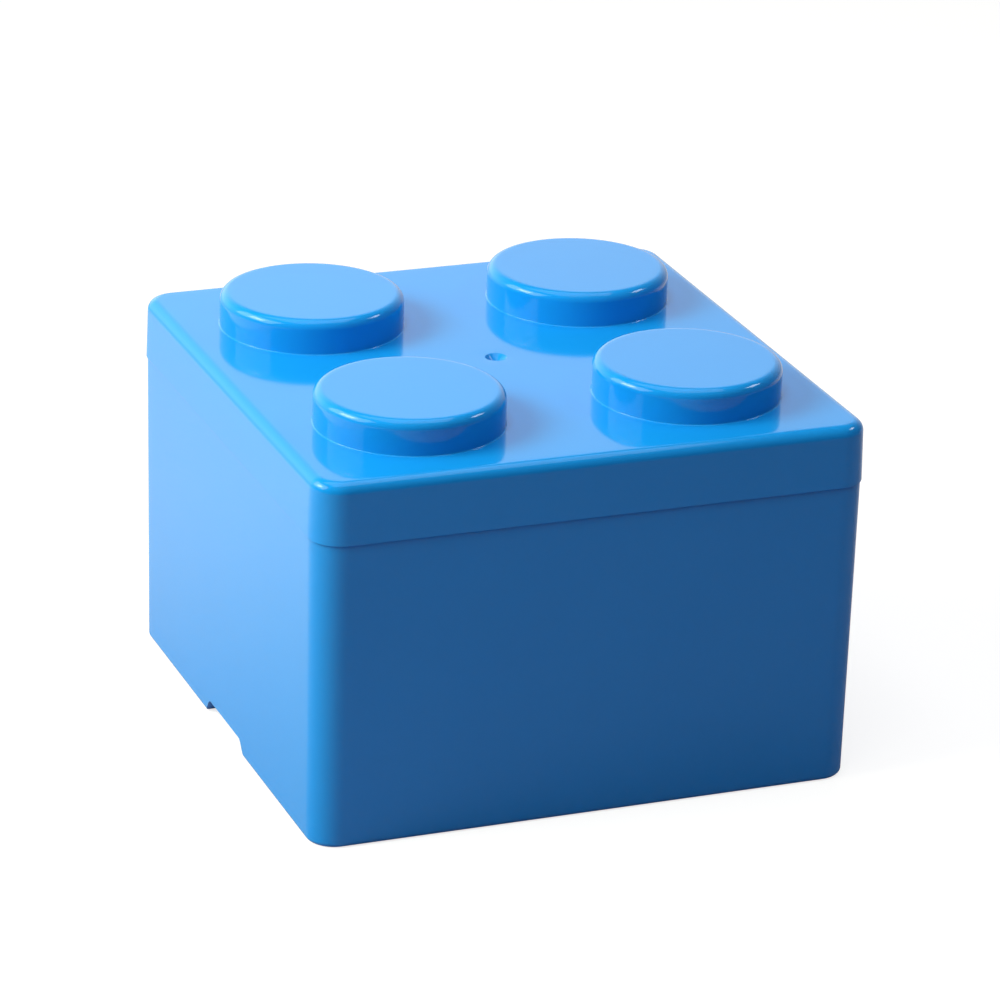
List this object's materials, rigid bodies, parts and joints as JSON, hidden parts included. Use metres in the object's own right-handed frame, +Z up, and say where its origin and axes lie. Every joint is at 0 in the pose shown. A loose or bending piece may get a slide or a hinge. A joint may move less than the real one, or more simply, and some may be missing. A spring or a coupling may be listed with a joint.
{
  "type": "brick shaped storage box",
  "caption": "Square stackable storage box with a lift-off lid that carries round hollow studs; ring sockets under the floor take the studs of the box below.",
  "frame": {"origin": "middle of the foot, on the surface that the box stands on", "axes": "+Z up, the way the lid lifts and the studs point; +X to the right along the front; +Y to the back. The finger notches are in the -X and +X walls."},
  "size_m": [0.125, 0.125, 0.0902],
  "materials": {
    "box_plastic": "glossy injection-moulded plastic, mid blue",
    "lid_plastic": "glossy injection-moulded plastic, mid blue"
  },
  "bodies": {
    "box": {"box": "box_plastic"},
    "lid": {"lid": "lid_plastic"}
  },
  "joints": [
    {"name": "lid_lift", "type": "slide", "parent": "box", "child": "lid", "axis": [0, 0, 1], "range_m": [0, 0.1]}
  ]
}
